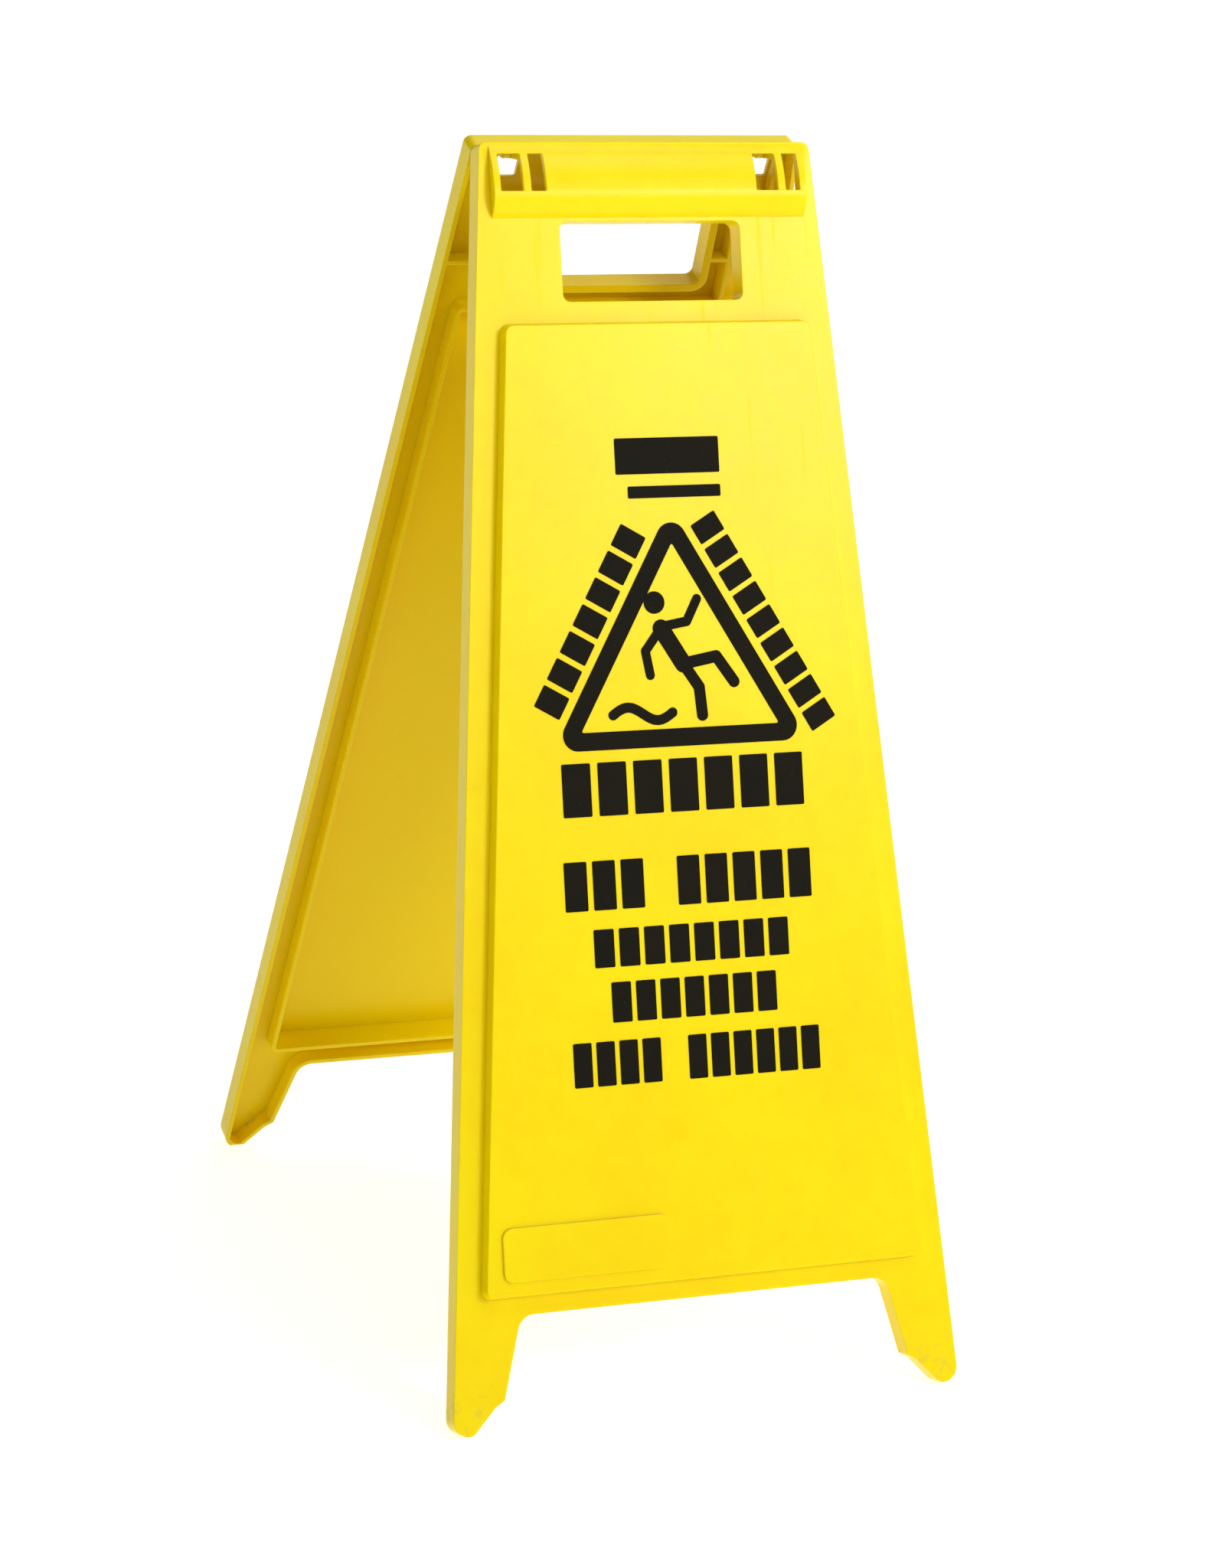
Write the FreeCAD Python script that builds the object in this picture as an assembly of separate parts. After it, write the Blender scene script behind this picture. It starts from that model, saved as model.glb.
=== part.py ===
import FreeCAD, Part
import math
import os

# Folding A-frame floor sign, standing open on the floor.
# Two identical moulded panels hang from two snap pins at the top edge. The back panel is the
# front panel turned half a turn about Z.
# Row frame: origin on the floor in the middle of the sign, +Z up, X across, front panel to -Y.
# Panel coordinates: u across the panel, s down its slope from the top edge, n outwards from the
# plane where the two panels meet when folded. All sizes are in millimetres.

# ---- Overall sizes of one panel ----
PANEL_LENGTH = 635.0      # top edge to foot tips, along the slope
TOP_WIDTH = 177.4
FOOT_WIDTH = 275.0
PANEL_DEPTH = 12.0        # fold plane to the outer face of the rim
HALF_ANGLE = 17.6         # lean of each panel from vertical when open, degrees

# ---- Walls ----
PLATE = 2.5               # thickness of the flat walls
FLANGE = 2.5              # thickness of the wall round the edge
RIB = 2.2                 # thickness of the inner ribs
TOP_CORNER_RADIUS = 4.0
FOLD_GAP = 0.2            # each panel's edges to the fold plane, when folded
STOP_GAP = 0.15           # each top edge to the middle plane, when open
SMALLEST_RADIUS = 0.8

# ---- Legs and feet ----
LEG_LENGTH = 57.0         # bottom edge of the web to the foot tips
LEG_TOP_WIDTH = 34.0      # at the web
LEG_ANKLE_WIDTH = 26.5    # where the foot starts
ANKLE_HEIGHT = 16.0       # above the foot tip, along the slope
KINK_WIDTH = 5.0          # small step at the inner side of the foot
KINK_RISE = 3.0
TOE_WIDTH = 10.5
TOE_RADIUS = 8.0
HEEL_RADIUS = 4.0
CROTCH_RADIUS = 9.0
SOLE_TRIM = 1.6           # how far the floor plane cuts the toes, to give flat soles

# ---- Raised field that carries the print ----
FIELD_RISE = 6.0
FIELD_DRAFT = 1.2         # how far the step wall leans in
FIELD_SIDE_MARGIN = 12.8
FIELD_TOP_MARGIN = 10.7   # below the hand hole
FIELD_BOTTOM_MARGIN = 9.0 # above the bottom edge of the web
FIELD_RADIUS = 5.0

# ---- Blank plaque low on the field ----
PLAQUE_LENGTH = 88.0
PLAQUE_WIDTH = 27.0
PLAQUE_RISE = 1.2
PLAQUE_MARGIN = 8.0       # from the field's two edges

# ---- Roll grip across the top ----
ROLL_END_MARGIN = 4.7     # from the top corners
ROLL_BOTTOM = 37.5
ROLL_CREST = 26.0
ROLL_RISE = 6.0
ROLL_TOP = 2.0
ROLL_WALL = 2.5
ROLL_SEAT = 1.0           # depth of its foot in the plate

# ---- Hand hole ----
HOLE_WIDTH = 97.0
HOLE_HEIGHT = 39.8
HOLE_GAP = 2.0            # below the roll
HOLE_RADIUS = 4.0
HOLE_RIM = 4.0            # thickness of the wall round it
SPINE_OFFSET = 14.0       # upright rib, outside the hole's edge
LEVEL_RIB_DROP = 6.0      # level rib, below the middle of the hole

# ---- Windows in the roll ----
WINDOW_END_MARGIN = 3.5   # from the ends of the roll
NARROW_WINDOW = 8.0
WINDOW_BAR = 4.0          # bar between a narrow and a wide window; a lug stands behind it
WINDOW_TOP = 6.0
WINDOW_HEIGHT = 19.0

# ---- Hinge: knuckles at the top edge, in pockets of the top flanges ----
PIN_RADIUS = 1.6
BARREL_WALL = 1.4         # round the pin
BARREL_DROP = 0.4         # top of the barrels below the top edge
POCKET_GAP = 0.6          # round the barrels and the pin
LUG_GAP = 0.4             # between neighbouring lugs of the two panels
LUG_FOOT = 2.6            # how far a lug's web reaches below its barrel
RUNNING_CLEARANCE = 0.05
PRESS = 0.02
PIN_HEAD = 2.0
PIN_HEAD_LIP = 0.9        # how far the head stands out from the pin
BARB_GAP = 0.3            # play of the barb past the outer lug
BARB_LENGTH = 3.0
BARB_LIP = 0.4            # how far the barb stands out from the pin
BARB_TAPER = 0.9          # how far the barb narrows to its tip
PIN_SLOT = 0.7

# ---- Print: plain shapes with no lettering, drawn at its own size and fitted to the field ----
# Artwork coordinates: across from the middle, and down from the top of the artwork.
INK = 0.15
ART_TOP_MARGIN = 56.0
ART_BOTTOM_MARGIN = 100.7
ART_LENGTH = 322.0
ART_WIDTH = 162.0
TRIANGLE_TOP = 36.5       # sharp corner of the outer triangle
TRIANGLE_HEIGHT = 119.5
TRIANGLE_RADIUS = 8.0
TRIANGLE_STROKE = 9.0
TRIANGLE_LEAN = 30.0      # of its sides from upright, degrees
BLOCK_RADIUS = 0.8
BLOCK_SPACING = 0.2       # gap between blocks, as a share of a block's width
MARK_BARS = [             # left, right, top, bottom
    (-28.0, 28.0, 2.0, 20.0),
    (-22.0, 28.0, 26.0, 32.0),
]
MESSAGE_ROWS = [          # half length, top, bottom, blocks in each run
    (65.0, 162.0, 188.5, [7]),
    (66.5, 210.5, 235.0, [3, 5]),
    (52.5, 244.5, 263.5, [8]),
    (44.5, 271.0, 291.0, [7]),
    (66.5, 300.0, 322.0, [4, 6]),
]
SIDE_ROW_GAP = 4.2        # from the triangle
SIDE_ROW_HEIGHT = 15.0
SIDE_ROWS = [             # side, start and end along the triangle's side, blocks
    (-1, 20.0, 122.0, 7),
    (1, 14.0, 136.0, 9),
]
HEAD = (-11.0, 84.0)
HEAD_WIDTH = 11.2
LIMBS = [                 # thickness, then the points it runs through
    (9.0, [(-8.0, 97.0), (3.0, 115.0)]),
    (4.8, [(-9.0, 98.0), (-17.0, 108.0), (-15.0, 120.0)]),
    (4.8, [(-7.0, 96.0), (6.0, 94.0), (12.0, 83.0)]),
    (6.0, [(3.0, 115.0), (21.0, 112.0), (30.0, 125.0)]),
    (6.0, [(3.0, 115.0), (11.0, 127.0), (12.0, 141.0)]),
]
SLICK_WIDTH = 5.0
SLICK_LEFT = -36.0
SLICK_LENGTH = 32.0
SLICK_LEVEL = 139.0
SLICK_WAVE = 3.5
SLICK_STEPS = 16

# ---- Worked out ----
WIDE_WINDOW = NARROW_WINDOW + WINDOW_BAR
ROLL_END = TOP_WIDTH / 2 - ROLL_END_MARGIN
HOLE_TOP = ROLL_BOTTOM + HOLE_GAP
HOLE_BOTTOM = HOLE_TOP + HOLE_HEIGHT
WEB_BOTTOM = PANEL_LENGTH - LEG_LENGTH
FIELD_TOP = HOLE_BOTTOM + FIELD_TOP_MARGIN
FIELD_BOTTOM = WEB_BOTTOM - FIELD_BOTTOM_MARGIN
FIELD_FACE = PANEL_DEPTH + FIELD_RISE
BARREL_RADIUS = PIN_RADIUS + BARREL_WALL
HINGE_DROP = BARREL_DROP + BARREL_RADIUS  # hinge axis below the top edge
PIVOT_HEIGHT = (PANEL_LENGTH - HINGE_DROP) * math.cos(math.radians(HALF_ANGLE)) - SOLE_TRIM
LUG = WINDOW_BAR - LUG_GAP
WINDOWS_OUTER = ROLL_END - WINDOW_END_MARGIN
INNER_LUG = WINDOWS_OUTER - WIDE_WINDOW - WINDOW_BAR / 2
OUTER_LUG = WINDOWS_OUTER - NARROW_WINDOW - WINDOW_BAR / 2
PIN_START = INNER_LUG - LUG / 2 - PIN_HEAD
BARB_START = OUTER_LUG + LUG / 2 + BARB_GAP
PIN_END = BARB_START + BARB_LENGTH
REACH = 2 * PANEL_LENGTH  # longer than anything here, for cutting planes
PROUD = 1.0               # how far a cutting shape runs past what it cuts
ROUNDED_SHARE = 0.98      # most of a side that the rounds at its ends may take


def at(u, s, n):
    """A point of the front panel while it hangs upright, hinge axis at the origin."""
    return FreeCAD.Vector(u, -n, HINGE_DROP - s)


def half_width(s):
    """Half the panel's width at s."""
    return (TOP_WIDTH + (FOOT_WIDTH - TOP_WIDTH) * s / PANEL_LENGTH) / 2


# ---------------------------------------------------------------- outlines
# An outline is a list of corners (u, s, radius), in order round the shape.

def unit(start, end):
    du = end[0] - start[0]
    ds = end[1] - start[1]
    length = math.hypot(du, ds)
    return du / length, ds / length


def neighbours(corners, i):
    """What stands before and after place i in a closed loop."""
    return corners[i - 1], corners[(i + 1) % len(corners)]


def signed_area(corners):
    total = 0.0
    for i, corner in enumerate(corners):
        before = corners[i - 1]
        total += before[0] * corner[1] - corner[0] * before[1]
    return total / 2


def inset(corners, distance):
    """The same outline with every side moved inwards."""
    turn = math.copysign(1.0, signed_area(corners))
    moved = []
    for i, corner in enumerate(corners):
        before, after = neighbours(corners, i)
        a = unit(before, corner)
        b = unit(corner, after)
        normal_a = (-a[1] * turn, a[0] * turn)
        normal_b = (-b[1] * turn, b[0] * turn)
        cross = normal_a[0] * normal_b[1] - normal_a[1] * normal_b[0]
        du = distance * (normal_b[1] - normal_a[1]) / cross
        ds = distance * (normal_a[0] - normal_b[0]) / cross
        growth = -distance if cross * turn > 0 else distance
        radius = max(corner[2] + growth, SMALLEST_RADIUS)
        moved.append((corner[0] + du, corner[1] + ds, radius))
    return moved


def half_angle(before, corner, after):
    """Half the angle between the two sides at a corner."""
    back = unit(corner, before)
    ahead = unit(corner, after)
    return math.acos(back[0] * ahead[0] + back[1] * ahead[1]) / 2


def trim(before, corner, after):
    """How much of each side the round at a corner takes."""
    return corner[2] / math.tan(half_angle(before, corner, after))


def fitted(corners):
    """The same outline, with each round limited by the sides next to it."""
    trims = []
    for i, corner in enumerate(corners):
        before, after = neighbours(corners, i)
        trims.append(trim(before, corner, after))
    limited = []
    for i, corner in enumerate(corners):
        share = 1.0
        for other, taken in zip(neighbours(corners, i), neighbours(trims, i)):
            side = math.hypot(corner[0] - other[0], corner[1] - other[1])
            share = min(share, ROUNDED_SHARE * side / (trims[i] + taken))
        limited.append((corner[0], corner[1], corner[2] * share))
    return limited


def corner_arc(before, corner, after):
    """Start, middle and end of the round at one corner."""
    back = unit(corner, before)
    ahead = unit(corner, after)
    half = half_angle(before, corner, after)
    cut = trim(before, corner, after)
    middle = unit((0.0, 0.0), (back[0] + ahead[0], back[1] + ahead[1]))
    sag = corner[2] / math.sin(half) - corner[2]
    return [
        (corner[0] + direction[0] * length, corner[1] + direction[1] * length)
        for direction, length in ((back, cut), (middle, sag), (ahead, cut))
    ]


def wire(corners, n):
    """The outline with rounded corners, as a closed wire at height n."""
    rounded = fitted(corners)
    arcs = []
    for i, corner in enumerate(rounded):
        before, after = neighbours(rounded, i)
        arcs.append([at(u, s, n) for u, s in corner_arc(before, corner, after)])
    edges = []
    for i, arc in enumerate(arcs):
        edges.append(Part.LineSegment(arcs[i - 1][2], arc[0]).toShape())
        edges.append(Part.Arc(arc[0], arc[1], arc[2]).toShape())
    return Part.Wire(edges)


def prism(corners, low, high):
    """The outline as a solid from n = low to n = high."""
    return Part.Face(wire(corners, low)).extrude(FreeCAD.Vector(0, low - high, 0))


def drafted(corners, low, high, lean):
    """The same, with its walls leaning in by lean."""
    return Part.makeLoft([wire(corners, low), wire(inset(corners, lean), high)], True, True)


def mirrored(right_half):
    """A whole outline from the corners of its right half, top to bottom."""
    return right_half + [(-u, s, radius) for u, s, radius in reversed(right_half)]


def rectangle(left, right, top, bottom, radius):
    return [(left, top, radius), (right, top, radius), (right, bottom, radius), (left, bottom, radius)]


def block(left, right, top, bottom, low, high):
    """A plain box in panel coordinates."""
    corner = at(left, bottom, high)
    return Part.makeBox(right - left, high - low, bottom - top, corner)


def fused(shapes):
    return shapes[0].multiFuse(shapes[1:])


# ---------------------------------------------------------------- one panel

def panel_outline():
    ankle = PANEL_LENGTH - ANKLE_HEIGHT
    inner_ankle = half_width(ankle) - LEG_ANKLE_WIDTH
    toe = half_width(PANEL_LENGTH)
    return mirrored([
        (half_width(0.0), 0.0, TOP_CORNER_RADIUS),
        (toe, PANEL_LENGTH, TOE_RADIUS),
        (toe - TOE_WIDTH, PANEL_LENGTH, HEEL_RADIUS),
        (inner_ankle + KINK_WIDTH, ankle + KINK_RISE, SMALLEST_RADIUS),
        (inner_ankle, ankle, SMALLEST_RADIUS),
        (half_width(WEB_BOTTOM) - LEG_TOP_WIDTH, WEB_BOTTOM, CROTCH_RADIUS),
    ])


def field_outline():
    return mirrored([
        (half_width(FIELD_TOP) - FIELD_SIDE_MARGIN, FIELD_TOP, FIELD_RADIUS),
        (half_width(FIELD_BOTTOM) - FIELD_SIDE_MARGIN, FIELD_BOTTOM, FIELD_RADIUS),
    ])


def hole_outline():
    return rectangle(-HOLE_WIDTH / 2, HOLE_WIDTH / 2, HOLE_TOP, HOLE_BOTTOM, HOLE_RADIUS)


def upper_ribs():
    """The upright rib and the level rib on each side of the hand hole."""
    level = (HOLE_TOP + HOLE_BOTTOM) / 2 + LEVEL_RIB_DROP
    ribs = []
    for side in (-1, 1):
        spine = side * (HOLE_WIDTH / 2 + SPINE_OFFSET)
        left = spine - RIB / 2
        ribs.append(block(left, left + RIB, ROLL_BOTTOM, FIELD_TOP + PLATE, -PROUD, PANEL_DEPTH))
        left, right = sorted((side * HOLE_WIDTH / 2, side * half_width(level)))
        ribs.append(block(left, right, level - RIB / 2, level + RIB / 2, -PROUD, PANEL_DEPTH))
    return ribs


def tray():
    """Plate and edge flange, with the ribs and the walls round the hole and the field left standing."""
    outline = panel_outline()
    floor = PANEL_DEPTH - PLATE
    pocket = prism(inset(outline, FLANGE), -PROUD, floor)
    kept = [
        prism(inset(field_outline(), FIELD_DRAFT), -PROUD, floor),
        prism(inset(hole_outline(), -HOLE_RIM), -PROUD, floor),
    ]
    pocket = pocket.cut(kept + upper_ribs())
    return prism(outline, 0.0, PANEL_DEPTH).cut(pocket)


def raised_field():
    """Outside of the print field, with the blank plaque on it."""
    field = drafted(field_outline(), PANEL_DEPTH, FIELD_FACE, FIELD_DRAFT)
    bottom = FIELD_BOTTOM - PLAQUE_MARGIN
    left = FIELD_SIDE_MARGIN + PLAQUE_MARGIN - half_width(bottom - PLAQUE_WIDTH)
    corners = rectangle(left, left + PLAQUE_LENGTH, bottom - PLAQUE_WIDTH, bottom, FIELD_RADIUS)
    plaque = prism(corners, FIELD_FACE - PROUD, FIELD_FACE + PLAQUE_RISE)
    return field.fuse(plaque)


def field_recess():
    """Hollow of the field, cut from the inside."""
    corners = inset(field_outline(), FIELD_DRAFT + PLATE)
    return prism(corners, -PROUD, FIELD_FACE - PLATE)


def roll_section(shrink, base):
    """Section of the roll between two arcs that meet at its crest, closed along n = base."""
    crest = PANEL_DEPTH + ROLL_RISE
    points = []
    for side, width in ((-1, ROLL_CREST - ROLL_TOP), (1, ROLL_BOTTOM - ROLL_CREST)):
        full = (width ** 2 + ROLL_RISE ** 2) / (2 * ROLL_RISE)
        radius = full - shrink
        centre = crest - full
        end = math.acos((base - centre) / radius)
        for angle in (end, end / 2):
            s = ROLL_CREST + side * radius * math.sin(angle)
            points.append((s, centre + radius * math.cos(angle)))
    return points, (ROLL_CREST, crest - shrink)


def roll_solid(shrink, base, end):
    """The roll's section drawn out from u = -end to u = end."""
    (upper_end, upper_middle, lower_end, lower_middle), crest = roll_section(shrink, base)
    spots = [at(-end, s, n) for s, n in (upper_end, upper_middle, crest, lower_middle, lower_end)]
    outline = Part.Wire([
        Part.Arc(spots[0], spots[1], spots[2]).toShape(),
        Part.Arc(spots[2], spots[3], spots[4]).toShape(),
        Part.LineSegment(spots[4], spots[0]).toShape(),
    ])
    return Part.Face(outline).extrude(FreeCAD.Vector(2 * end, 0, 0))


def windows():
    """Two pairs of openings: the wide one is outermost on the left and innermost on the right."""
    bottom = WINDOW_TOP + WINDOW_HEIGHT
    cuts = []
    for side, outer, inner in ((-1, WIDE_WINDOW, NARROW_WINDOW), (1, NARROW_WINDOW, WIDE_WINDOW)):
        edge = WINDOWS_OUTER
        for width, bar in ((outer, WINDOW_BAR), (inner, 0.0)):
            ends = sorted((side * edge, side * (edge - width)))
            corners = rectangle(ends[0], ends[1], WINDOW_TOP, bottom, SMALLEST_RADIUS)
            cuts.append(prism(corners, 0.0, FIELD_FACE + 2 * ROLL_RISE))
            edge -= width + bar
    return cuts


def lug(centre):
    """A hinge lug: a barrel on the hinge axis with a web out to the roll and the top flange."""
    left = centre - LUG / 2
    across = FreeCAD.Vector(LUG, 0, 0)
    barrel = Part.makeCylinder(BARREL_RADIUS, LUG, FreeCAD.Vector(left, 0, 0), FreeCAD.Vector(1, 0, 0))
    crest = PANEL_DEPTH + ROLL_RISE
    top = HINGE_DROP - BARREL_RADIUS
    bottom = HINGE_DROP + BARREL_RADIUS
    foot = bottom + LUG_FOOT
    corners = [(top, 0.0), (bottom, 0.0), (foot, PANEL_DEPTH), (foot, crest), (top, crest)]
    spots = [at(left, s, n) for s, n in corners]
    web = Part.Face(Part.makePolygon(spots + spots[:1])).extrude(across)
    roll = roll_solid(ROLL_WALL / 2, -PROUD, ROLL_END)
    return barrel.fuse(web.common(roll))


def hinge_bore(centre, radius):
    start = FreeCAD.Vector(centre - WINDOW_BAR / 2, 0, 0)
    return Part.makeCylinder(radius, WINDOW_BAR, start, FreeCAD.Vector(1, 0, 0))


def hinge_pocket(side):
    """Notch in the top flange for the lugs and the pin, open at the top."""
    radius = BARREL_RADIUS + POCKET_GAP
    left, right = sorted((side * (PIN_START - POCKET_GAP), side * (PIN_END + POCKET_GAP)))
    start = FreeCAD.Vector(left, 0, 0)
    hollow = Part.makeCylinder(radius, right - left, start, FreeCAD.Vector(1, 0, 0))
    return hollow.fuse(block(left, right, -PROUD, HINGE_DROP, -radius, radius))


def tilted(shape):
    """Lean a shape of the front panel to its place in the open sign, hinge axis at the origin."""
    moved = shape.copy()
    moved.rotate(FreeCAD.Vector(0, 0, 0), FreeCAD.Vector(1, 0, 0), -HALF_ANGLE)
    return moved


def stood_up(shape):
    """Raise a tilted shape so that the soles lie on the floor."""
    return shape.translated(FreeCAD.Vector(0, 0, PIVOT_HEIGHT))


def beyond(y):
    """Everything behind a plane of constant y."""
    return Part.makeBox(2 * REACH, REACH, 2 * REACH, FreeCAD.Vector(-REACH, y, -REACH))


def shell():
    """The panel without its hinge lugs."""
    floor = PANEL_DEPTH - PLATE
    body = fused([
        tray(),
        raised_field(),
        roll_solid(0.0, PANEL_DEPTH - ROLL_SEAT, ROLL_END),
    ])
    body = body.cut([
        field_recess(),
        roll_solid(ROLL_WALL, floor - PROUD, ROLL_END - ROLL_WALL),
        prism(hole_outline(), -PROUD, PANEL_DEPTH + PROUD),
        beyond(-FOLD_GAP),
        hinge_pocket(-1),
        hinge_pocket(1),
    ] + windows())
    return body


def front_panel():
    body = tilted(shell()).cut(beyond(-STOP_GAP))
    body = fused([body, tilted(lug(-INNER_LUG)), tilted(lug(OUTER_LUG))])
    body = body.cut([
        hinge_bore(-INNER_LUG, PIN_RADIUS - PRESS),
        hinge_bore(OUTER_LUG, PIN_RADIUS + RUNNING_CLEARANCE),
    ])
    below_floor = Part.makeBox(2 * REACH, 2 * REACH, REACH, FreeCAD.Vector(-REACH, -REACH, -REACH))
    return stood_up(body).cut(below_floor).removeSplitter()


# ---------------------------------------------------------------- hinge pin

def left_pin():
    """Split snap pin: head by the inner lug, barbed tip past the outer lug."""
    head_face = PIN_START + PIN_HEAD
    head_radius = PIN_RADIUS + PIN_HEAD_LIP
    barb_radius = PIN_RADIUS + BARB_LIP
    profile = [
        (PIN_START, 0.0), (PIN_START, head_radius),
        (head_face, head_radius), (head_face, PIN_RADIUS),
        (BARB_START, PIN_RADIUS), (BARB_START, barb_radius),
        (PIN_END, barb_radius - BARB_TAPER), (PIN_END, 0.0),
    ]
    spots = [FreeCAD.Vector(-x, 0, r) for x, r in profile]
    axis = (FreeCAD.Vector(0, 0, 0), FreeCAD.Vector(1, 0, 0))
    pin = Part.Face(Part.makePolygon(spots + spots[:1])).revolve(axis[0], axis[1], 360)
    corner = FreeCAD.Vector(-PIN_END - PROUD, -PIN_SLOT / 2, -barb_radius - PROUD)
    depth = PIN_END - OUTER_LUG + LUG / 2
    slot = Part.makeBox(depth + PROUD, PIN_SLOT, 2 * (barb_radius + PROUD), corner)
    return stood_up(pin.cut(slot))


# ---------------------------------------------------------------- print

def art_scale():
    """The artwork shrinks or grows with the field."""
    room = FIELD_BOTTOM - FIELD_TOP - ART_TOP_MARGIN - ART_BOTTOM_MARGIN
    width = 2 * (half_width(FIELD_TOP) - FIELD_SIDE_MARGIN)
    return min(room / ART_LENGTH, width / ART_WIDTH)


def on_field(corners):
    """Artwork corners (across, down, radius) in panel coordinates."""
    scale = art_scale()
    top = FIELD_TOP + ART_TOP_MARGIN
    return [(u * scale, top + s * scale, radius * scale) for u, s, radius in corners]


def ink(corners):
    return prism(on_field(corners), FIELD_FACE, FIELD_FACE + INK)


def block_row(start, along, length, height, groups):
    """Plain blocks in a row. groups holds the number of blocks in each run, with a gap between runs."""
    down = (-along[1], along[0])
    slots = sum(groups) + len(groups) - 1
    pitch = length / (slots - BLOCK_SPACING)
    width = pitch * (1 - BLOCK_SPACING)
    solids = []
    place = 0
    for count in groups:
        for i in range(place, place + count):
            corners = []
            for a, d in ((0, 0), (width, 0), (width, height), (0, height)):
                u = start[0] + along[0] * (i * pitch + a) + down[0] * d
                s = start[1] + along[1] * (i * pitch + a) + down[1] * d
                corners.append((u, s, BLOCK_RADIUS))
            solids.append(ink(corners))
        place += count + 1
    return solids


def level_row(half, top, bottom, groups):
    return block_row((-half, top), (1.0, 0.0), 2 * half, bottom - top, groups)


def side_row(side, start, end, count):
    """Blocks that climb along one side of the triangle; start and end are distances from its top."""
    lean = math.radians(TRIANGLE_LEAN)
    outward = SIDE_ROW_GAP + SIDE_ROW_HEIGHT
    far = end if side < 0 else start
    spot = (
        side * (far * math.sin(lean) + outward * math.cos(lean)),
        TRIANGLE_TOP + far * math.cos(lean) - outward * math.sin(lean),
    )
    along = (math.sin(lean), side * math.cos(lean))
    return block_row(spot, along, end - start, SIDE_ROW_HEIGHT, [count])


def message_blocks():
    """Plain blocks where a sign of this kind carries its message."""
    solids = [ink(rectangle(*bar, BLOCK_RADIUS)) for bar in MARK_BARS]
    for half, top, bottom, groups in MESSAGE_ROWS:
        solids += level_row(half, top, bottom, groups)
    for side, start, end, count in SIDE_ROWS:
        solids += side_row(side, start, end, count)
    return Part.makeCompound(solids)


def stroke(points, width):
    """A round-ended line of ink through the given points."""
    scale = art_scale()
    radius = width / 2
    pieces = []
    for u, s in points:
        centre = on_field([(u, s, 0.0)])[0]
        spot = at(centre[0], centre[1], FIELD_FACE)
        pieces.append(Part.makeCylinder(radius * scale, INK, spot, FreeCAD.Vector(0, -1, 0)))
    for start, end in zip(points, points[1:]):
        along = unit(start, end)
        side = (-along[1] * radius, along[0] * radius)
        corners = [
            (start[0] + side[0], start[1] + side[1], 0.0), (end[0] + side[0], end[1] + side[1], 0.0),
            (end[0] - side[0], end[1] - side[1], 0.0), (start[0] - side[0], start[1] - side[1], 0.0),
        ]
        spots = [at(u, s, FIELD_FACE) for u, s, _ in on_field(corners)]
        bar = Part.Face(Part.makePolygon(spots + spots[:1]))
        pieces.append(bar.extrude(FreeCAD.Vector(0, -INK, 0)))
    return pieces


def slipping_figure():
    """A plain stick figure losing its footing."""
    pieces = stroke([HEAD], HEAD_WIDTH)
    for width, points in LIMBS:
        pieces += stroke(points, width)
    return fused(pieces).removeSplitter()


def slick_line():
    """One wave of a streak under the figure."""
    points = []
    for i in range(SLICK_STEPS + 1):
        share = i / SLICK_STEPS
        level = SLICK_LEVEL - SLICK_WAVE * math.sin(2 * math.pi * share)
        points.append((SLICK_LEFT + share * SLICK_LENGTH, level))
    return fused(stroke(points, SLICK_WIDTH)).removeSplitter()


def hazard_symbol():
    """Rounded triangle frame round the figure."""
    half = TRIANGLE_HEIGHT * math.tan(math.radians(TRIANGLE_LEAN))
    bottom = TRIANGLE_TOP + TRIANGLE_HEIGHT
    outer = [
        (0.0, TRIANGLE_TOP, TRIANGLE_RADIUS),
        (half, bottom, TRIANGLE_RADIUS),
        (-half, bottom, TRIANGLE_RADIUS),
    ]
    frame = ink(outer).cut(ink(inset(outer, TRIANGLE_STROKE)))
    return Part.makeCompound([frame, slipping_figure(), slick_line()])


# ---------------------------------------------------------------- the whole sign

def half_turned(shape):
    moved = shape.copy()
    moved.rotate(FreeCAD.Vector(0, 0, 0), FreeCAD.Vector(0, 0, 1), 180)
    return moved


def sign():
    """Every piece by name."""
    panel = front_panel()
    pin = left_pin()
    symbol = stood_up(tilted(hazard_symbol()))
    message = stood_up(tilted(message_blocks()))
    return {
        "front_panel": panel,
        "back_panel": half_turned(panel),
        "left_hinge_pin": pin,
        "right_hinge_pin": half_turned(pin),
        "front_hazard_symbol": symbol,
        "back_hazard_symbol": half_turned(symbol),
        "front_message_blocks": message,
        "back_message_blocks": half_turned(message),
    }


os.makedirs("parts", exist_ok=True)
for name, shape in sign().items():
    shape.exportStep("parts/" + name + ".step")
    box = shape.optimalBoundingBox()
    print(name, len(shape.Solids), "solids, valid", shape.isValid(), "volume", round(shape.Volume, 1))
    print("    x %.2f..%.2f  y %.2f..%.2f  z %.2f..%.2f" % (
        box.XMin, box.XMax, box.YMin, box.YMax, box.ZMin, box.ZMax))
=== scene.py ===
import math

import bpy
from mathutils import Matrix, Vector


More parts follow.
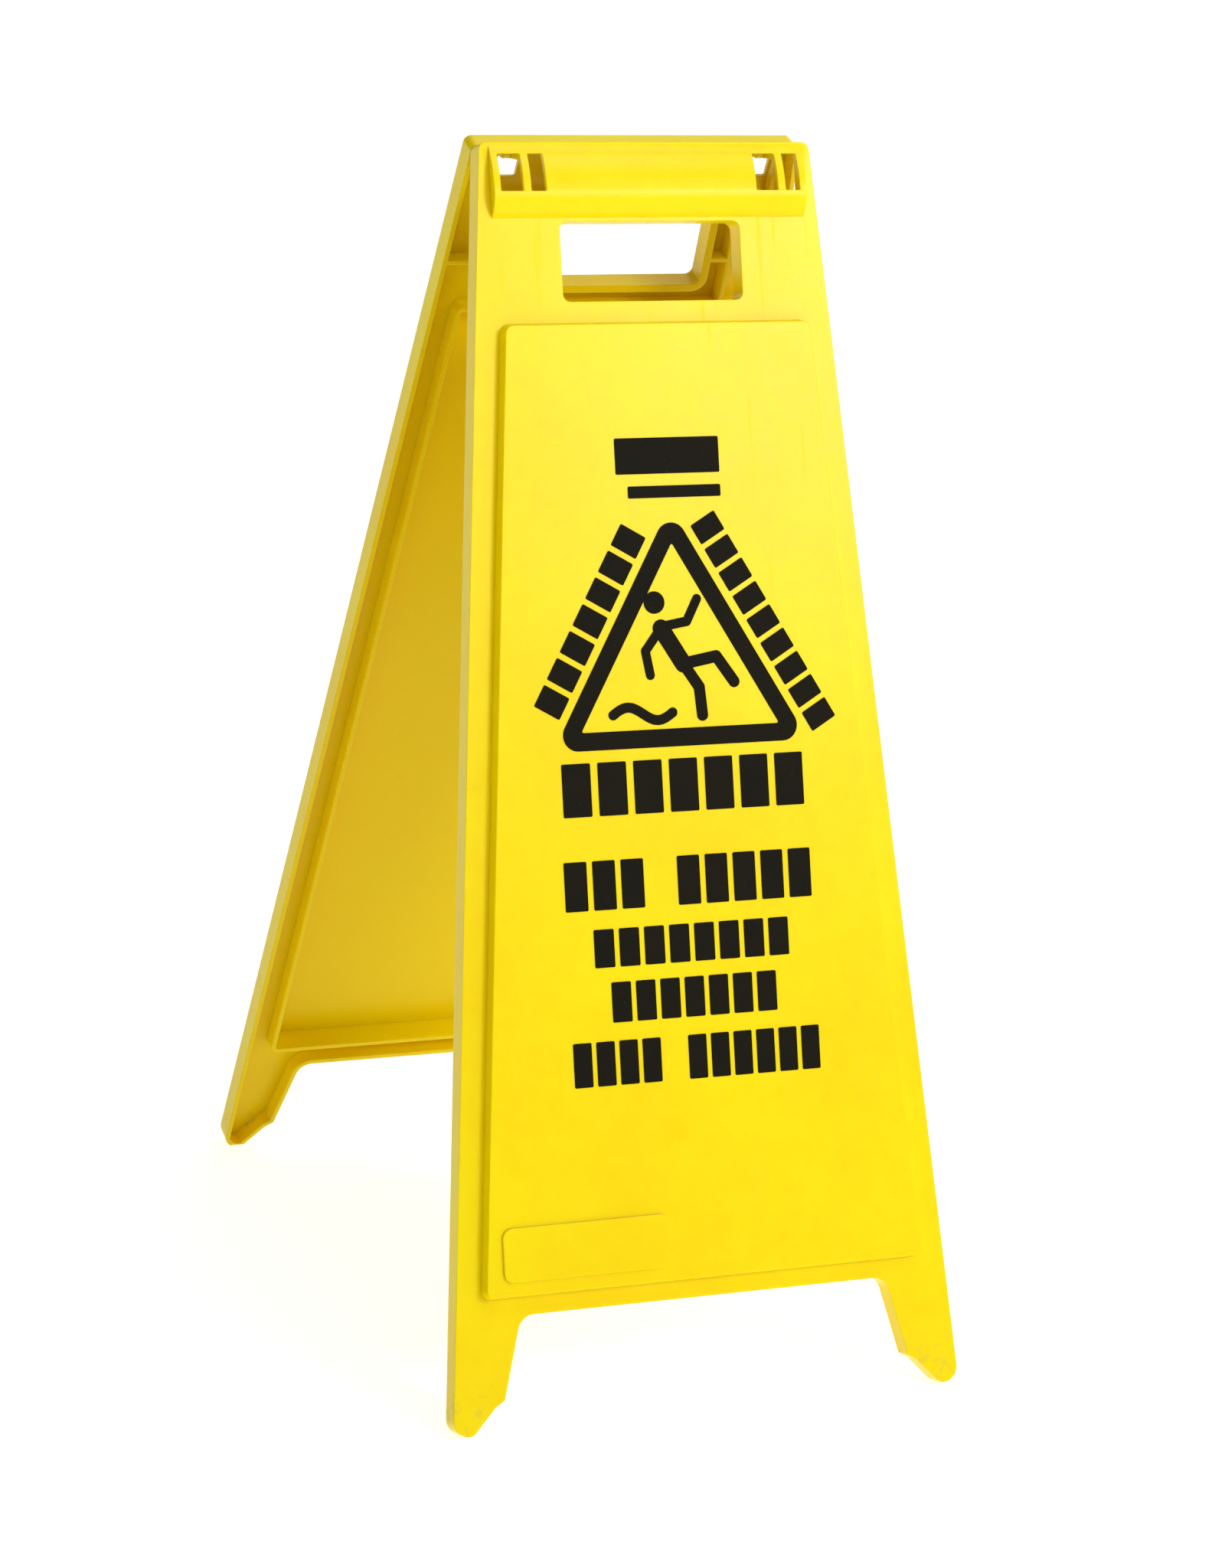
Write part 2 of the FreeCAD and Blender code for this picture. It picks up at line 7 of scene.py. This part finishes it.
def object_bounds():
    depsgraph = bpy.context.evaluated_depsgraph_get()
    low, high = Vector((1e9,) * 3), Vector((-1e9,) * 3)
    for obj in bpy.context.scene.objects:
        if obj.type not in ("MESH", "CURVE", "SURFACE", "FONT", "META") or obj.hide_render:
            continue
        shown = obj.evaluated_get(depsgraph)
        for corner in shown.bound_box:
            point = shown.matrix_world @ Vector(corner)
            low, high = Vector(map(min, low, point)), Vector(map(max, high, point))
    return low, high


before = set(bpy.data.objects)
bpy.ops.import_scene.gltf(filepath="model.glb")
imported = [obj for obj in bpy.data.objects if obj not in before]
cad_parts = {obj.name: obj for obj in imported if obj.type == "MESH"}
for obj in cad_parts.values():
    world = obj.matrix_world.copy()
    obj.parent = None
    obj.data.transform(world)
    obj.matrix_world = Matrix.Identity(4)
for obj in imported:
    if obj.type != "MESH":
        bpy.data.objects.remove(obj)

# Folding floor sign, standing open. The moulded panels, the hinge pins and the printed shapes
# come from the frame. This script gives them their edges and finishes, and sets up the studio.

CAD_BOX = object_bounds()
MM = 0.001

PANELS = ("front_panel", "back_panel")
PINS = ("left_hinge_pin", "right_hinge_pin")
PRINTS = ("front_hazard_symbol", "back_hazard_symbol", "front_message_blocks", "back_message_blocks")

PANEL_EDGE = 0.7 * MM          # radius to which the finishes round off the edges
PIN_EDGE = 0.2 * MM
WELD_GAP = 0.002 * MM          # corners of triangles this near each other become one
EDGE_FACET = 0.03 * MM         # hairline facet that keeps an edge crisp
EDGE_ANGLE = 30.0              # degrees
FACE_WEIGHT = 90               # how strongly large faces set the shading, where 50 is neutral


# ---------------------------------------------------------------- shader maths

class Flow:
    """A shader socket that can be used in sums, so that patterns read as arithmetic."""

    def __init__(self, tree, socket):
        self.tree = tree
        self.socket = socket

    def node(self, kind, settings=None, **inputs):
        """Add a node of any kind. Settings are set first, then the sockets, named with _ for a space."""
        node = self.tree.nodes.new(kind)
        for name, value in (settings or {}).items():
            setattr(node, name, value)
        for name, value in inputs.items():
            plug(self.tree, find_socket(node, name), value)
        return node

    def maths(self, operation, other=None):
        node = self.node("ShaderNodeMath", {"operation": operation})
        plug(self.tree, node.inputs[0], self)
        if other is not None:
            plug(self.tree, node.inputs[1], other)
        return Flow(self.tree, node.outputs[0])

    def flipped(self, operation, other):
        """The same, with the other value first."""
        node = self.node("ShaderNodeMath", {"operation": operation})
        plug(self.tree, node.inputs[0], other)
        plug(self.tree, node.inputs[1], self)
        return Flow(self.tree, node.outputs[0])

    def __add__(self, other):
        return self.maths("ADD", other)

    def __sub__(self, other):
        return self.maths("SUBTRACT", other)

    def __mul__(self, other):
        return self.maths("MULTIPLY", other)

    def __rsub__(self, other):
        return self.flipped("SUBTRACT", other)

    __radd__ = __add__
    __rmul__ = __mul__

    def between(self, low, high):
        """0 at low, 1 at high, smooth between and held outside."""
        node = self.node(
            "ShaderNodeMapRange", {"interpolation_type": "SMOOTHSTEP"},
            Value=self, From_Min=low, From_Max=high,
        )
        return Flow(self.tree, node.outputs["Result"])


def find_socket(node, name):
    """The input whose name has spaces where the given name has underscores."""
    return node.inputs[name.replace("_", " ")]


def plug(tree, socket, value):
    """Link a socket to what feeds it, or set it to a plain value."""
    if isinstance(value, Flow):
        tree.links.new(value.socket, socket)
    elif isinstance(value, bpy.types.NodeSocket):
        tree.links.new(value, socket)
    else:
        socket.default_value = value


MIX_AMOUNT, MIX_FIRST, MIX_SECOND = 0, 6, 7      # a colour Mix node's sockets
MIX_COLOUR = 2
BEVEL_SAMPLES = 6
INNER_FADE = (0.25, 0.75)      # how far a surface faces inwards where the inner side fades in
EDGE_FADE = (0.01, 0.25)       # how far rounding turns the surface where an edge fades in


class Finish:
    """A material with its main shader, its place on the piece and the patterns the finishes share."""

    def __init__(self, name):
        self.material = bpy.data.materials.new(name)
        self.material.use_nodes = True
        self.tree = self.material.node_tree
        self.tree.nodes.clear()
        self.start = Flow(self.tree, None)
        output = self.start.node("ShaderNodeOutputMaterial")
        self.shader = self.start.node("ShaderNodeBsdfPrincipled")
        self.tree.links.new(self.shader.outputs["BSDF"], output.inputs["Surface"])
        coordinates = self.start.node("ShaderNodeTexCoord")
        self.place = coordinates.outputs["Object"]
        split = self.start.node("ShaderNodeSeparateXYZ", Vector=self.place)
        self.y, self.z = (Flow(self.tree, split.outputs[axis]) for axis in "YZ")
        turned = self.start.node("ShaderNodeSeparateXYZ", Vector=coordinates.outputs["Normal"])
        self.facing_y = Flow(self.tree, turned.outputs["Y"])

    def noise(self, size, detail, stretch=None):
        """Soft noise from 0 to 1 whose blotches are about size metres across."""
        place = self.place
        if stretch:
            place = self.start.node("ShaderNodeMapping", Vector=place, Scale=stretch).outputs[0]
        node = self.start.node("ShaderNodeTexNoise", Vector=place, Scale=1.0 / size, Detail=detail)
        return Flow(self.tree, node.outputs["Fac"])

    def mix(self, amount, first, second):
        """The first colour where amount is 0 and the second where it is 1."""
        node = self.start.node("ShaderNodeMix", {"data_type": "RGBA"})
        plug(self.tree, node.inputs[MIX_AMOUNT], amount)
        plug(self.tree, node.inputs[MIX_FIRST], first)
        plug(self.tree, node.inputs[MIX_SECOND], second)
        return node.outputs[MIX_COLOUR]

    def bump(self, height, distance, strength, under=None):
        """The surface direction with height raised up to distance metres, on top of under."""
        node = self.start.node("ShaderNodeBump", Strength=strength, Distance=distance, Height=height)
        if under is not None:
            plug(self.tree, node.inputs["Normal"], under)
        return node.outputs[0]

    def inner_side(self):
        """1 on the surfaces of either panel that face the other panel, 0 on the outer ones."""
        side = self.y.maths("SIGN")
        return (0.0 - side * self.facing_y).between(*INNER_FADE)

    def rounded(self, radius):
        """The surface direction with edges and corners rounded to radius."""
        return self.start.node("ShaderNodeBevel", {"samples": BEVEL_SAMPLES}, Radius=radius).outputs[0]

    def edges(self, radius):
        """1 on edges within radius, 0 on flat faces."""
        flat = self.start.node("ShaderNodeNewGeometry").outputs["Normal"]
        node = self.start.node("ShaderNodeVectorMath", {"operation": "DOT_PRODUCT"})
        plug(self.tree, node.inputs[0], self.rounded(radius))
        plug(self.tree, node.inputs[1], flat)
        return (1.0 - Flow(self.tree, node.outputs["Value"])).between(*EDGE_FADE)

    def set(self, **sockets):
        """Give the main shader its values and patterns, and hand over the material."""
        for name, value in sockets.items():
            plug(self.tree, find_socket(self.shader, name), value)
        return self.material


# ---------------------------------------------------------------- finishes

YELLOW = (0.92, 0.745, 0.0, 1.0)
YELLOW_DEEP = (0.90, 0.685, 0.0, 1.0)
YELLOW_INNER_SHADE = (0.76, 0.57, 0.0, 1.0)    # painted shade on the inner side of the moulding, which faces the other panel
YELLOW_EDGE_SHADE_AND_WEAR = (0.66, 0.50, 0.0, 1.0)     # painted shade along the edges, with some handling wear
SCUFF = (0.42, 0.33, 0.10, 1.0)

CLOUD_SIZE = 0.11              # flow clouds left by the mould
CLOUD_SHARE = 0.7
MOTTLE_SIZE = 0.012
MOTTLE_SHARE = 0.3
CLOUD_RANGE = (0.35, 0.68)     # where the noise starts to show and where it shows in full, here and below
EDGE_PATCH_SIZE = 0.02               # patches along the edges where the painted shade and handling wear are stronger
EDGE_SHADE_WIDTH = 0.9 * MM
EDGE_PATCH_RANGE = (0.42, 0.62)
EDGE_SHADE_LEAST = 0.45              # painted edge shade and wear between the patches, and what a patch adds
EDGE_SHADE_PATCH = 0.55
EDGE_SHADE_STRENGTH = 0.7
DIRT_SIZE = 0.006
DIRT_RANGE = (0.5, 0.7)
DIRT_HEIGHT = 0.035            # how far floor dirt reaches up the feet
DIRT_STRENGTH = 0.35
SCRATCH_SIZE = 0.004
SCRATCH_STRETCH = (1.0, 0.06, 0.06)
SCRATCH_RANGE = (0.62, 0.75)
GRAIN_SIZE = 0.7 * MM
GRAIN_DEPTH = 0.05 * MM
RIPPLE_SIZE = 0.05             # slight unevenness of the flat faces
RIPPLE_DEPTH = 0.6 * MM
SATIN = 0.25                   # roughness of the clean plastic, and what each pattern adds to it
MOTTLE_DULLS = 0.08
SCRATCH_DULLS = 0.10
DIRT_DULLS = 0.12


def moulded_yellow():
    """Satin polypropylene straight from the mould: faint flow clouds, fine spark grain, soft sheen, painted
    shade on the inner sides and along the edges.
    """
    finish = Finish("moulded_yellow")
    clouds = finish.noise(CLOUD_SIZE, detail=2.0)
    mottle = finish.noise(MOTTLE_SIZE, detail=4.0)
    flow = (clouds * CLOUD_SHARE + mottle * MOTTLE_SHARE).between(*CLOUD_RANGE)
    colour = finish.mix(flow, YELLOW_DEEP, YELLOW)
    # painted shade: the sides of the panels that face each other are darker and oranger
    colour = finish.mix(finish.inner_side(), colour, YELLOW_INNER_SHADE)
    # edges darkened with painted shade and some handling wear, stronger in patches
    edge_patches = finish.noise(EDGE_PATCH_SIZE, detail=4.0).between(*EDGE_PATCH_RANGE)
    edge_shade_and_wear = finish.edges(EDGE_SHADE_WIDTH) * (EDGE_SHADE_LEAST + EDGE_SHADE_PATCH * edge_patches)
    colour = finish.mix(edge_shade_and_wear * EDGE_SHADE_STRENGTH, colour, YELLOW_EDGE_SHADE_AND_WEAR)
    specks = finish.noise(DIRT_SIZE, detail=5.0).between(*DIRT_RANGE)
    floor_dirt = (1.0 - finish.z.between(0.0, DIRT_HEIGHT)) * specks
    colour = finish.mix(floor_dirt * DIRT_STRENGTH, colour, SCUFF)
    scratches = finish.noise(SCRATCH_SIZE, detail=2.0, stretch=SCRATCH_STRETCH).between(*SCRATCH_RANGE)
    grain = finish.noise(GRAIN_SIZE, detail=2.0)
    ripple = finish.noise(RIPPLE_SIZE, detail=1.0)
    normal = finish.bump(ripple, RIPPLE_DEPTH, strength=0.25, under=finish.rounded(PANEL_EDGE))
    normal = finish.bump(grain, GRAIN_DEPTH, strength=0.35, under=normal)
    return finish.set(
        Base_Color=colour,
        Roughness=SATIN + MOTTLE_DULLS * mottle + SCRATCH_DULLS * scratches + DIRT_DULLS * floor_dirt,
        Normal=normal,
        IOR=1.49,
        Specular_IOR_Level=0.17,
        Subsurface_Weight=0.40,
        Subsurface_Radius=(1.0, 0.60, 0.05),
        Subsurface_Scale=3.0 * MM,
    )


PIN_YELLOW = (0.88, 0.60, 0.002, 1.0)
RING_SIZE = 0.6 * MM           # turning marks round the pin
RING_STRETCH = (1.0, 0.1, 0.1)
RING_DEPTH = 0.03 * MM
RING_RANGE = (0.3, 0.7)
PIN_SHEEN = 0.28               # roughness between the marks, and what a mark adds to it
RING_DULLS = 0.12


def pin_yellow():
    """Harder, shinier plastic with turning marks round the pin."""
    finish = Finish("pin_yellow")
    rings = finish.noise(RING_SIZE, detail=2.0, stretch=RING_STRETCH)
    colour = finish.mix(rings.between(*RING_RANGE), YELLOW_DEEP, PIN_YELLOW)
    return finish.set(
        Base_Color=colour,
        Roughness=PIN_SHEEN + RING_DULLS * rings,
        Normal=finish.bump(rings, RING_DEPTH, strength=0.4, under=finish.rounded(PIN_EDGE)),
        IOR=1.48,
    )


INK = (0.006, 0.005, 0.003, 1.0)
INK_THIN = (0.013, 0.011, 0.005, 1.0)
INK_PINHOLE = (0.20, 0.15, 0.01, 1.0)    # plastic that shows through
COVER_SIZE = 0.02
PINHOLE_SIZE = 0.9 * MM
PINHOLE_RANGE = (0.74, 0.80)
PINHOLE_STRENGTH = 0.25
MESH_SIZE = 0.35 * MM          # mark of the printing screen
MESH_DEPTH = 0.02 * MM
MATT = 0.56                    # roughness of thick ink, and what thin ink adds to it
COVER_DULLS = 0.14


def black_print():
    """Screen-printed ink: near black, a little uneven, matt, with pinholes."""
    finish = Finish("black_print")
    cover = finish.noise(COVER_SIZE, detail=3.0)
    pinholes = finish.noise(PINHOLE_SIZE, detail=1.0).between(*PINHOLE_RANGE)
    colour = finish.mix(cover, INK, INK_THIN)
    colour = finish.mix(pinholes * PINHOLE_STRENGTH, colour, INK_PINHOLE)
    mesh = finish.noise(MESH_SIZE, detail=1.0)
    return finish.set(
        Base_Color=colour,
        Roughness=MATT + COVER_DULLS * cover,
        Normal=finish.bump(mesh, MESH_DEPTH, strength=0.3),
        IOR=1.5,
        Specular_IOR_Level=0.06,
    )


WHITE = (1.0, 1.0, 1.0, 1.0)
FLOOR_DARK = (0.60, 0.60, 0.60, 1.0)
FLOOR_PALE = (0.62, 0.62, 0.62, 1.0)
FLOOR_TONE_SIZE = 0.4
FLOOR_GLOW = 0.78              # the floor's own light, which keeps it white


def pale_floor():
    """Matt white sweep, lit through from below as on a product table."""
    finish = Finish("pale_floor")
    tone = finish.noise(FLOOR_TONE_SIZE, detail=2.0)
    return finish.set(
        Base_Color=finish.mix(tone, FLOOR_DARK, FLOOR_PALE),
        Roughness=0.8,
        Emission_Color=WHITE,
        Emission_Strength=FLOOR_GLOW,
    )


# ---------------------------------------------------------------- pieces from the frame

def dress(node, material):
    """Give a frame piece its finish."""
    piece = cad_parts[node]
    piece.data.materials.clear()
    piece.data.materials.append(material)
    return piece


def smooth(piece):
    """Weld a moulding's triangles, keep its edges crisp with a hairline facet and shade the rest smooth."""
    piece.data.polygons.foreach_set("use_smooth", [True] * len(piece.data.polygons))
    weld = piece.modifiers.new("weld", "WELD")
    weld.merge_threshold = WELD_GAP
    facet = piece.modifiers.new("edge_facet", "BEVEL")
    facet.width = EDGE_FACET
    facet.segments = 1
    facet.limit_method = "ANGLE"
    facet.angle_limit = math.radians(EDGE_ANGLE)
    facet.use_clamp_overlap = True
    shading = piece.modifiers.new("even_shading", "WEIGHTED_NORMAL")
    shading.weight = FACE_WEIGHT


def dress_sign():
    """Give every piece of the sign its finish."""
    yellow = moulded_yellow()
    pin = pin_yellow()
    ink = black_print()
    for node in PANELS:
        smooth(dress(node, yellow))
    for node in PINS:
        smooth(dress(node, pin))
    for node in PRINTS:        # thin layers that shade flat, as they are
        dress(node, ink)


# ---------------------------------------------------------------- studio

ROOM_SHADE = 0.10              # strength of the room's dim and bright parts
ROOM_LIGHT = 1.05
COVE_FADE = (0.05, 0.22)       # sine of the height at which the cove starts to darken, and ends
ROOM_BRIGHT_WAY = (0.9, 0.43, 0.0)   # towards the lit wall, to the right of the sign and behind it
WALL_FADE = (0.0, 0.65)        # how square on to the bright wall a direction is where it fades in
FLOOR_WIDTH = 40.0

KEY_PLACE = (1.05, -1.88, 1.38)
KEY_AIM = (0.05, 0.0, 0.2)     # from the middle of the sign
KEY_SIZE = (0.6, 0.6)
KEY_POWER = 20.5               # watts
OVERHEAD_PLACE = (0.25, -0.75, 1.9)
OVERHEAD_AIM = (0.0, 0.0, 0.3)
OVERHEAD_SIZE = (1.0, 0.5)
OVERHEAD_POWER = 8.0


def studio_floor():
    """A floor wide enough to fill the view."""
    bpy.ops.mesh.primitive_plane_add(size=FLOOR_WIDTH, location=(0.0, 0.0, 0.0))
    floor = bpy.context.object
    floor.name = "studio_floor"
    floor.data.materials.append(pale_floor())


def soft_light(name, place, aim, size, power):
    """A rectangular light at place, turned towards aim."""
    light = bpy.data.lights.new(name, "AREA")
    light.shape = "RECTANGLE"
    light.size, light.size_y = size
    light.energy = power
    holder = bpy.data.objects.new(name, light)
    bpy.context.scene.collection.objects.link(holder)
    holder.location = place
    holder.rotation_euler = (Vector(aim) - Vector(place)).to_track_quat("-Z", "Y").to_euler()


def studio_lights(centre):
    soft_light("key", KEY_PLACE, centre + Vector(KEY_AIM), KEY_SIZE, KEY_POWER)
    soft_light("overhead", OVERHEAD_PLACE, centre + Vector(OVERHEAD_AIM), OVERHEAD_SIZE, OVERHEAD_POWER)
    studio_room()


def studio_room():
    """A white room: a bright cove all round at floor level, and one bright wall above it."""
    world = bpy.data.worlds.new("studio_room")
    world.use_nodes = True
    tree = world.node_tree
    sky = Flow(tree, None)
    way = sky.node("ShaderNodeTexCoord").outputs["Generated"]
    facing = sky.node("ShaderNodeVectorMath", {"operation": "DOT_PRODUCT"})
    plug(tree, facing.inputs[0], way)
    plug(tree, facing.inputs[1], ROOM_BRIGHT_WAY)
    wall = Flow(tree, facing.outputs["Value"]).between(*WALL_FADE)
    up = Flow(tree, sky.node("ShaderNodeSeparateXYZ", Vector=way).outputs["Z"])
    cove = 1.0 - up.between(*COVE_FADE)
    lit = 1.0 - (1.0 - wall) * (1.0 - cove)
    background = tree.nodes["Background"]
    background.inputs["Color"].default_value = WHITE
    plug(tree, background.inputs["Strength"], ROOM_SHADE + (ROOM_LIGHT - ROOM_SHADE) * lit)
    bpy.context.scene.world = world


CAMERA_AZIMUTH = math.radians(22.6)      # from straight in front, towards the sign's left
CAMERA_ELEVATION = math.radians(17.13)
CAMERA_ROLL = 0.064                      # radians
CAMERA_DISTANCE = 2.259
CAMERA_LENS = 98.7                       # mm, as is the sensor
CAMERA_SENSOR = 36.0
CAMERA_AIM_SIDE = 8.6 * MM               # right of the sign's middle
CAMERA_AIM_HEIGHT = 0.4403               # of the sign's height


def studio_camera(target):
    """Three-quarter view from the front left, a little above, with a slight roll."""
    inwards = math.cos(CAMERA_ELEVATION)
    ahead = Vector((
        math.sin(CAMERA_AZIMUTH) * inwards,
        math.cos(CAMERA_AZIMUTH) * inwards,
        -math.sin(CAMERA_ELEVATION),
    ))
    level = Vector((math.cos(CAMERA_AZIMUTH), -math.sin(CAMERA_AZIMUTH), 0.0))
    rise = level.cross(ahead)
    right = math.cos(CAMERA_ROLL) * level + math.sin(CAMERA_ROLL) * rise
    up = math.cos(CAMERA_ROLL) * rise - math.sin(CAMERA_ROLL) * level
    lens = bpy.data.cameras.new("studio_camera")
    lens.sensor_width = CAMERA_SENSOR
    lens.lens = CAMERA_LENS
    camera = bpy.data.objects.new("studio_camera", lens)
    bpy.context.scene.collection.objects.link(camera)
    turned = Matrix((right, up, -ahead)).transposed().to_4x4()
    camera.matrix_world = Matrix.Translation(target - CAMERA_DISTANCE * ahead) @ turned
    bpy.context.scene.camera = camera


dress_sign()
low, high = (Vector(corner) for corner in CAD_BOX)
height = high.z - low.z
studio_floor()
studio_lights(Vector((0.0, 0.0, 0.5 * height)))
studio_camera(Vector((CAMERA_AIM_SIDE, 0.0, CAMERA_AIM_HEIGHT * height)))
bpy.context.scene.view_settings.view_transform = "Standard"
